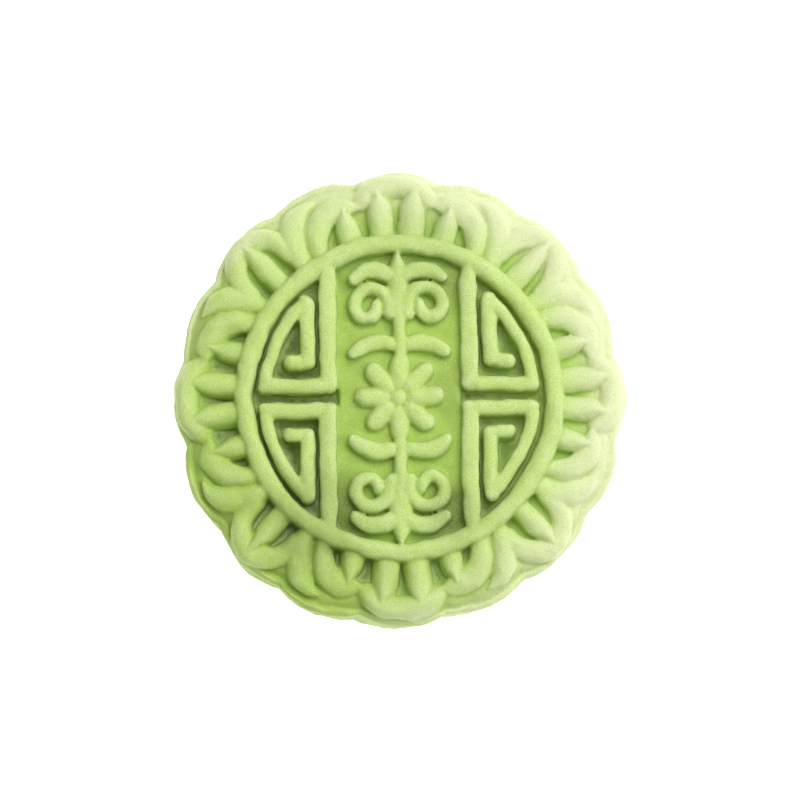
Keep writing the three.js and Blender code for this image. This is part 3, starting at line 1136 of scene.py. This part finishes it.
@dataclass
class LeafBorder:
    """Leaves under arches all round the band. It repeats in each quarter."""

    main_leaf: Rope = Rope(
        polar((5.1, 25.4), (5.1, 30), (5.3, 35.1)),
        (2.3, 2.25, 2.2),
        (2.6, 2.6, 2.6),
        Ending.LEAF,
        shoulder=0.58,
    )
    side_leaf: Rope = Rope(
        polar((16.5, 25), (16.4, 28.6), (15.9, 32.7)), (1.95, 1.9, 1.8), (2.4, 2.5, 2.5), Ending.LEAF
    )
    corner_leaf: Rope = Rope(
        polar((45, 25), (45, 30), (45, 36.0)), (1.7, 1.85, 1.8), (2.6, 2.6, 2.6), Ending.LEAF
    )
    main_arch: Rope = Rope(
        arched(0, (11.2, 31.6), (9.9, 33.3), (5.9, 34.8), (0, 35.15)),
        both_halves(1.2, 1.75, 2.0, 2.0),
        both_halves(1.3, 2.0, 2.35, 2.4),
    )
    side_arch: Rope = Rope(
        polar(
            (28.2, 25.6), (27.8, 27.6), (26.1, 29.7), (23.6, 31.5),
            (20, 32.6), (16.2, 32.9), (10.4, 32.3),
        ),
        (1.5, 1.6, 1.95, 2.1, 2.1, 2.0, 1.8),
        (2.4, 2.5, 2.5, 2.4, 2.3, 2.1, 1.7),
        Ending.LEAF,
        shoulder=0.72,
    )
    outer_arch: Rope = Rope(
        polar(
            (34.9, 25.6), (34.6, 27.6), (33.9, 29.6), (32.5, 31.6),
            (30.2, 33.3), (27.3, 34.5), (22.6, 35.5),
        ),
        (1.55, 1.7, 2.0, 2.1, 2.05, 1.9, 1.6),
        (2.4, 2.5, 2.5, 2.4, 2.25, 2.0, 1.4),
        Ending.LEAF,
        shoulder=0.55,
    )
    corner_arch: Rope = Rope(
        arched(45, (9.0, 28), (8.7, 30.2), (7.9, 32.3), (6, 34.0), (3.2, 35.2), (0, 35.8)),
        both_halves(1.3, 1.5, 1.7, 1.8, 1.75, 1.6),
        both_halves(2.1, 2.3, 2.3, 2.3, 2.2, 2.1),
    )

    def build(self) -> bpy.types.Object:
        """Build one quarter and turn it into the other three.

        Returns:
            The border.
        """
        half = join(
            [
                self.main_leaf.build("main_leaf"),
                self.side_leaf.build("side_leaf"),
                self.side_arch.build("side_arch"),
                self.outer_arch.build("outer_arch"),
            ],
            "half_quarter",
        )
        quarter = join(
            [
                half,
                mirrored(half, (-1, 1, 1)),
                self.main_arch.build("main_arch"),
                self.corner_leaf.build("corner_leaf"),
                self.corner_arch.build("corner_arch"),
            ],
            "quarter",
        )
        return join([quarter, *(turned(quarter, angle) for angle in (90, 180, 270))], "leaf_border")


@dataclass(frozen=True)
class Stroke:
    """A stroke of the ornament: its line, its half width at each point of the line and its ending."""

    line: tuple[Point, ...]
    half_widths: tuple[float, ...]
    ending: Ending = Ending.ROUND


@dataclass
class FlowerOrnament:
    """An open blossom with a spray of leaves and scrolls above it and below it."""

    ground: float = 29.6
    rise: float = 2.2
    roundness: float = 0.9
    petals: int = 8
    petal: Stroke = Stroke(((0, 7.6), (0, 1.2)), (1.7, 1.7))
    button: float = 1.9
    button_sink: float = 1.4
    low_leaf: Stroke = Stroke(((0.4, 8.6), (3.4, 9.1), (6.2, 8.3), (8.4, 6.5)), (1.1, 1.4, 1.35, 0.8))
    high_leaf: Stroke = Stroke(((0.4, 19.6), (2.8, 21.0), (5.6, 21.0), (8.3, 19.2)), (1.1, 1.35, 1.3, 0.8))
    stem: Stroke = Stroke(((0, 6.4), (0, 15)), (1.1, 1.1))
    middle_leaf: Stroke = Stroke(((0, 13), (0, 18.5), (0, 24.6)), (1.75, 1.9, 1.85), Ending.LEAF)
    scroll_eye: Point = (4.95, 15.1)
    scroll_inner: float = 0.9
    scroll_outer: float = 3.85
    scroll_turns: float = 1.25
    scroll_end: float = 218.0
    scroll_steps: int = 16
    scroll_width: float = 1.15

    def _raised(self, name: str, stroke: Stroke) -> bpy.types.Object:
        """Raise one stroke of the ornament.

        Args:
            name: The stroke's name.
            stroke: The stroke.

        Returns:
            The raised stroke.
        """
        rises = (self.rise,) * len(stroke.line)
        plan = (stroke.line, stroke.half_widths, rises, stroke.ending)
        return Rope(*plan, ground=self.ground, roundness=self.roundness).build(name)

    def _blossom(self) -> list[bpy.types.Object]:
        """Build the blossom.

        Returns:
            Its petals, and the round button in their middle.
        """
        petal = self._raised("petal", self.petal)
        petals = [turned(petal, FULL_TURN * i / self.petals) for i in range(1, self.petals)]
        deselect()
        centre = (0, 0, self.ground + self.button - self.button_sink)
        bpy.ops.mesh.primitive_uv_sphere_add(
            segments=32, ring_count=16, radius=self.button, location=centre
        )
        button = bpy.context.object
        bpy.ops.object.transform_apply(location=True, rotation=True, scale=True)
        return [petal, *petals, button]

    def _scroll(self) -> Stroke:
        """Wind a stroke clockwise from the scroll's eye out to the stem.

        Returns:
            The stroke.
        """
        line = []
        for i in range(self.scroll_steps + 1):
            share = i / self.scroll_steps
            radius = self.scroll_inner + (self.scroll_outer - self.scroll_inner) * share
            angle = math.radians(self.scroll_end - FULL_TURN * self.scroll_turns * (1 - share))
            across, up = radius * math.cos(angle), radius * math.sin(angle)
            line.append((self.scroll_eye[0] + across, self.scroll_eye[1] + up))
        return Stroke(tuple(line), (self.scroll_width,) * len(line))

    def _spray(self) -> bpy.types.Object:
        """Build what stands above the blossom.

        Returns:
            The spray.
        """
        strokes = {"low_leaf": self.low_leaf, "scroll": self._scroll(), "high_leaf": self.high_leaf}
        side = join([self._raised(name, stroke) for name, stroke in strokes.items()], "spray_side")
        pieces = [
            side,
            mirrored(side, (-1, 1, 1)),
            self._raised("stem", self.stem),
            self._raised("middle_leaf", self.middle_leaf),
        ]
        return join(pieces, "spray")

    def build(self) -> bpy.types.Object:
        """Build the whole ornament."""
        spray = self._spray()
        return join([*self._blossom(), spray, mirrored(spray, (1, -1, 1))], "flower_ornament")


class Push(Enum):
    """Which way waves push the dough. Each value is the clouds' type and the way that they move it."""

    ALL_WAYS = ("COLOR", "RGB_TO_XYZ")
    OUTWARDS = ("GRAYSCALE", "NORMAL")


@dataclass(frozen=True)
class Waves:
    """Soft unevenness of pressed dough: the size and the depth of its waves in millimetres."""

    name: str
    size: float
    depth: float
    push: Push

    def press_into(self, piece: bpy.types.Object) -> None:
        """Press the waves into the skin of a piece.

        Args:
            piece: The piece.
        """
        clouds = bpy.data.textures.new(self.name, "CLOUDS")
        clouds.noise_scale = self.size
        clouds.cloud_type, direction = self.push.value
        modify(piece, "DISPLACE", texture=clouds, direction=direction, strength=self.depth)


@dataclass
class Mooncake:
    """The whole cake, pressed from one piece of dough."""

    ease_reach: float = 27.0
    ease_lift: float = 0.35
    ease_squeeze: float = 0.035
    ease_slip: float = 0.35
    ease_twist: float = 0.015
    crests: tuple[Point, ...] = (
        (0.0, 28.8), (0.8, 28.9), (1.3, 29.7), (2.2, 30.5),
        (4.0, 31.1), (9.5, 31.4), (10.5, 31.9),
    )
    outline_heights: Point = (24.0, 27.5)
    top_foot: float = 27.8
    floor_foot: float = 25.0
    floor_inside: float = 2.0
    side_depth: float = 0.6
    crease_passes: int = 30
    rim_start: float = 34.8
    rim_foot: float = 28.0
    rim_fade: float = 1.0
    rim_passes: int = 12
    voxel: float = 0.2
    soft_passes: int = 6
    waves: tuple[Waves, ...] = (
        Waves("dough_waves", 9.0, 1.0, Push.ALL_WAYS),
        Waves("dough_ripples", 3.4, 0.5, Push.ALL_WAYS),
        Waves("dough_dimples", 2.2, 0.1, Push.OUTWARDS),
    )
    base_flat: float = 0.8
    most_triangles: int = 190_000
    finish: DoughFinish = DoughFinish()

    def build(self) -> bpy.types.Object:
        """Join the parts of the cake, soften them into one skin and dress it.

        Returns:
            The cake in metres, riding on the frame in place of the plain solid.
        """
        outer = [CakeBody().build(), LeafBorder().build()]
        middle = [RoundBand().build(), RaisedPanel().build(), Fretwork().build(), FlowerOrnament().build()]
        for part in outer + middle:
            log.info("%s: %d faces", part.name, len(part.data.polygons))
        pattern = join(middle, "middle_pattern")
        surround = join(outer, "surround")
        self._ease(surround)
        cake = join([surround, pattern], "mooncake_dough")
        self._soften(cake)
        self._to_metres(cake)
        self._dress(cake)
        log.info("%s: %d faces", cake.name, len(cake.data.polygons))
        return cake

    def _ease(self, surround: bpy.types.Object) -> None:
        """Pull the border and the sides a little out of round, as the cake left its mould.

        Args:
            surround: The border and the body.
        """
        for vertex in surround.data.vertices:
            share = min((vertex.co.y / self.ease_reach) ** 2, 1.0)
            vertex.co.y *= 1 - self.ease_squeeze * (1 - share)
            vertex.co.y += self.ease_lift * share
            up, down = clamp(vertex.co.y / self.ease_reach), clamp(-vertex.co.y / self.ease_reach)
            vertex.co.y += self.ease_twist * vertex.co.x * down
            vertex.co.x -= self.ease_slip * up * (1 - max(vertex.co.x, 0.0) / self.ease_reach)

    def _soften(self, cake: bpy.types.Object) -> None:
        """Melt the parts into one skin with the unevenness of pressed dough.

        Args:
            cake: The joined parts.
        """
        modify(cake, "REMESH", mode="VOXEL", voxel_size=self.voxel)
        smooth(cake, self.soft_passes)
        self._blend_rim(cake)
        for waves in self.waves:
            waves.press_into(cake)
        self._mark_depths(cake)
        triangles = sum(len(face.vertices) - 2 for face in cake.data.polygons)
        log.info("skin before thinning: %d triangles", triangles)
        modify(cake, "DECIMATE", ratio=min(1.0, self.most_triangles / triangles))

    def _blend_rim(self, cake: bpy.types.Object) -> None:
        """Smooth the outer slopes of the arches into the rim.

        Args:
            cake: The cake.
        """
        group = cake.vertex_groups.new(name="rim")
        for vertex in cake.data.vertices:
            out = (vertex.co.xy.length - self.rim_start) / self.rim_fade
            up = (vertex.co.z - self.rim_foot) / self.rim_fade
            weight = clamp(min(out, up))
            if weight > 0:
                group.add([vertex.index], weight, "REPLACE")
        smooth(cake, self.rim_passes, vertex_group=group.name)

    def _mark_depths(self, cake: bpy.types.Object) -> None:
        """Mark how deep each place lies under the crests, and how far it lies in a crease.

        Args:
            cake: The cake.
        """
        levelled = copy(cake)
        smooth(levelled, self.crease_passes)
        radii = self._outline(cake)
        depths, creases = [], []
        for vertex, level in zip(cake.data.vertices, levelled.data.vertices, strict=True):
            place = vertex.co
            inside = radii[bearing(place)] - place.xy.length
            on_floor = inside > self.floor_inside and place.z > self.floor_foot
            on_top = on_floor or place.z > self.top_foot
            depths.append(self._crest_over(inside) - place.z if on_top else self.side_depth)
            creases.append((level.co - place).dot(vertex.normal))
        for name, marks in ((DEPTH, depths), (CREASE, creases)):
            cake.data.attributes.new(name, "FLOAT", "POINT").data.foreach_set("value", marks)
        bpy.data.objects.remove(levelled)

    def _outline(self, cake: bpy.types.Object) -> list[float]:
        """Measure the cake's outline.

        Args:
            cake: The cake.

        Returns:
            The radius of the side in each degree about the cake's axis.
        """
        radii = [0.0] * FULL_TURN
        for vertex in cake.data.vertices:
            if self.outline_heights[0] < vertex.co.z < self.outline_heights[1]:
                degree = bearing(vertex.co)
                radii[degree] = max(radii[degree], vertex.co.xy.length)
        return radii

    def _crest_over(self, inside: float) -> float:
        """Look up the height of the crests.

        Args:
            inside: How far inside the outline.

        Returns:
            The height that the crests have there.
        """
        for (start, low), (end, high) in pairwise(self.crests):
            if inside < end:
                return low + (high - low) * max(inside - start, 0.0) / (end - start)
        return self.crests[-1][1]

    def _to_metres(self, cake: bpy.types.Object) -> None:
        """Press the base flat and bring the cake to metres.

        Args:
            cake: The cake.
        """
        with editing(cake):
            pick(cake, lambda place: place.z < self.base_flat)
            bpy.ops.transform.resize(value=(1, 1, 0), center_override=(0, 0, 0))
            bpy.ops.mesh.select_all(action="SELECT")
            bpy.ops.transform.resize(value=(MILLIMETRE,) * 3, center_override=(0, 0, 0))
        take([cake])
        bpy.ops.object.shade_smooth()

    def _dress(self, cake: bpy.types.Object) -> None:
        """Give the cake its material and its place in the frame.

        Args:
            cake: The cake.
        """
        cake.data.materials.clear()
        cake.data.materials.append(self.finish.material())
        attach(cake, BODY)
        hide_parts(CAD_NODE)


@dataclass
class Studio:
    """A white table under two broad soft lights, one nearly overhead and one on the right."""

    table_size: float = 6.0
    key_place: Triple = (0.091, 0.145, 0.385)
    key_size: float = 0.3
    key_power: float = 1.19
    side_place: Triple = (0.36, -0.05, 0.345)
    side_size: float = 0.4
    side_power: float = 0.7
    sky: float = 0.245
    sky_colour: Colour = (0.84, 1.0, 0.66)
    finish: TableFinish = TableFinish()

    def build(self) -> bpy.types.Object:
        """Lay the table and hang the lights.

        Returns:
            The table top.
        """
        table = self._lay_table()
        self._hang("key_light", self.key_place, self.key_size, self.key_power)
        self._hang("side_light", self.side_place, self.side_size, self.side_power)
        self._fill_sky()
        bpy.context.scene.view_settings.view_transform = "Standard"
        return table

    def _lay_table(self) -> bpy.types.Object:
        """Lay the table top that the cake stands on.

        Returns:
            The table top.
        """
        deselect()
        bpy.ops.mesh.primitive_plane_add(size=self.table_size, location=(0, 0, 0))
        table = bpy.context.object
        table.name = "table_top"
        table.data.materials.append(self.finish.material())
        return table

    @staticmethod
    def _hang(name: str, place: Triple, size: float, power: float) -> None:
        """Hang a round soft light and turn it to the cake.

        Args:
            name: The light's name.
            place: Where it hangs, in metres.
            size: Its width in metres.
            power: Its power in watts.
        """
        bpy.ops.object.light_add(type="AREA", location=place)
        light = bpy.context.object
        light.name = name
        light.data.shape = "DISK"
        light.data.size = size
        light.data.energy = power
        light.rotation_euler = (-Vector(place)).to_track_quat("-Z", "Y").to_euler()

    def _fill_sky(self) -> None:
        """Light the room evenly."""
        world = bpy.data.worlds.new("soft_room")
        world.use_nodes = True
        background = world.node_tree.nodes["Background"]
        background.inputs["Color"].default_value = (*self.sky_colour, 1)
        background.inputs["Strength"].default_value = self.sky
        bpy.context.scene.world = world


@dataclass
class Viewpoint:
    """The camera, nearly overhead and leaning a little to the lower edge of the pattern."""

    azimuth: float = -8.0
    elevation: float = 83.0
    distance: float = 0.43
    roll: float = 0.85
    pixels_per_mm: float = 6.061
    image_width: float = 800.0
    sensor: float = 36.0
    aim: Triple = (0.0, 0.0, 0.0315)
    shift_px: Point = (0.0, -4.0)

    def build(self) -> bpy.types.Object:
        """Set up the camera and make it the scene's own.

        Returns:
            The camera.
        """
        bpy.ops.object.camera_add()
        camera = bpy.context.object
        camera.name = "camera"
        camera.data.sensor_width = self.sensor
        pixels = self.pixels_per_mm / MILLIMETRE * self.distance
        camera.data.lens = pixels * self.sensor / self.image_width
        camera.data.shift_x = self.shift_px[0] / self.image_width
        camera.data.shift_y = self.shift_px[1] / self.image_width
        camera.matrix_world = self._stance()
        bpy.context.scene.camera = camera
        return camera

    def _stance(self) -> Matrix:
        """Work out where the camera stands and how it is turned.

        Returns:
            The camera's world matrix.
        """
        around, up = math.radians(self.azimuth), math.radians(self.elevation)
        back = Vector((math.sin(around) * math.cos(up), -math.cos(around) * math.cos(up), math.sin(up)))
        ahead = -back
        pattern_up = Vector((0, 1, 0))
        seen_up = (pattern_up - ahead * pattern_up.dot(ahead)).normalized()
        seen_right = ahead.cross(seen_up)
        roll = math.radians(self.roll)
        camera_up = seen_up * math.cos(roll) + seen_right * math.sin(roll)
        camera_right = ahead.cross(camera_up)
        turn = Matrix((camera_right, camera_up, back)).transposed().to_4x4()
        return Matrix.Translation(Vector(self.aim) + back * self.distance) @ turn


def main() -> None:
    """Build the camera, the cake and the studio, and note the sizes."""
    logging.basicConfig(level=logging.INFO, format="%(name)s: %(message)s")
    for piece in (Viewpoint().build(), Mooncake().build(), Studio().build()):
        log.info("made %s", piece.name)


if __name__ == "__main__":
    main()
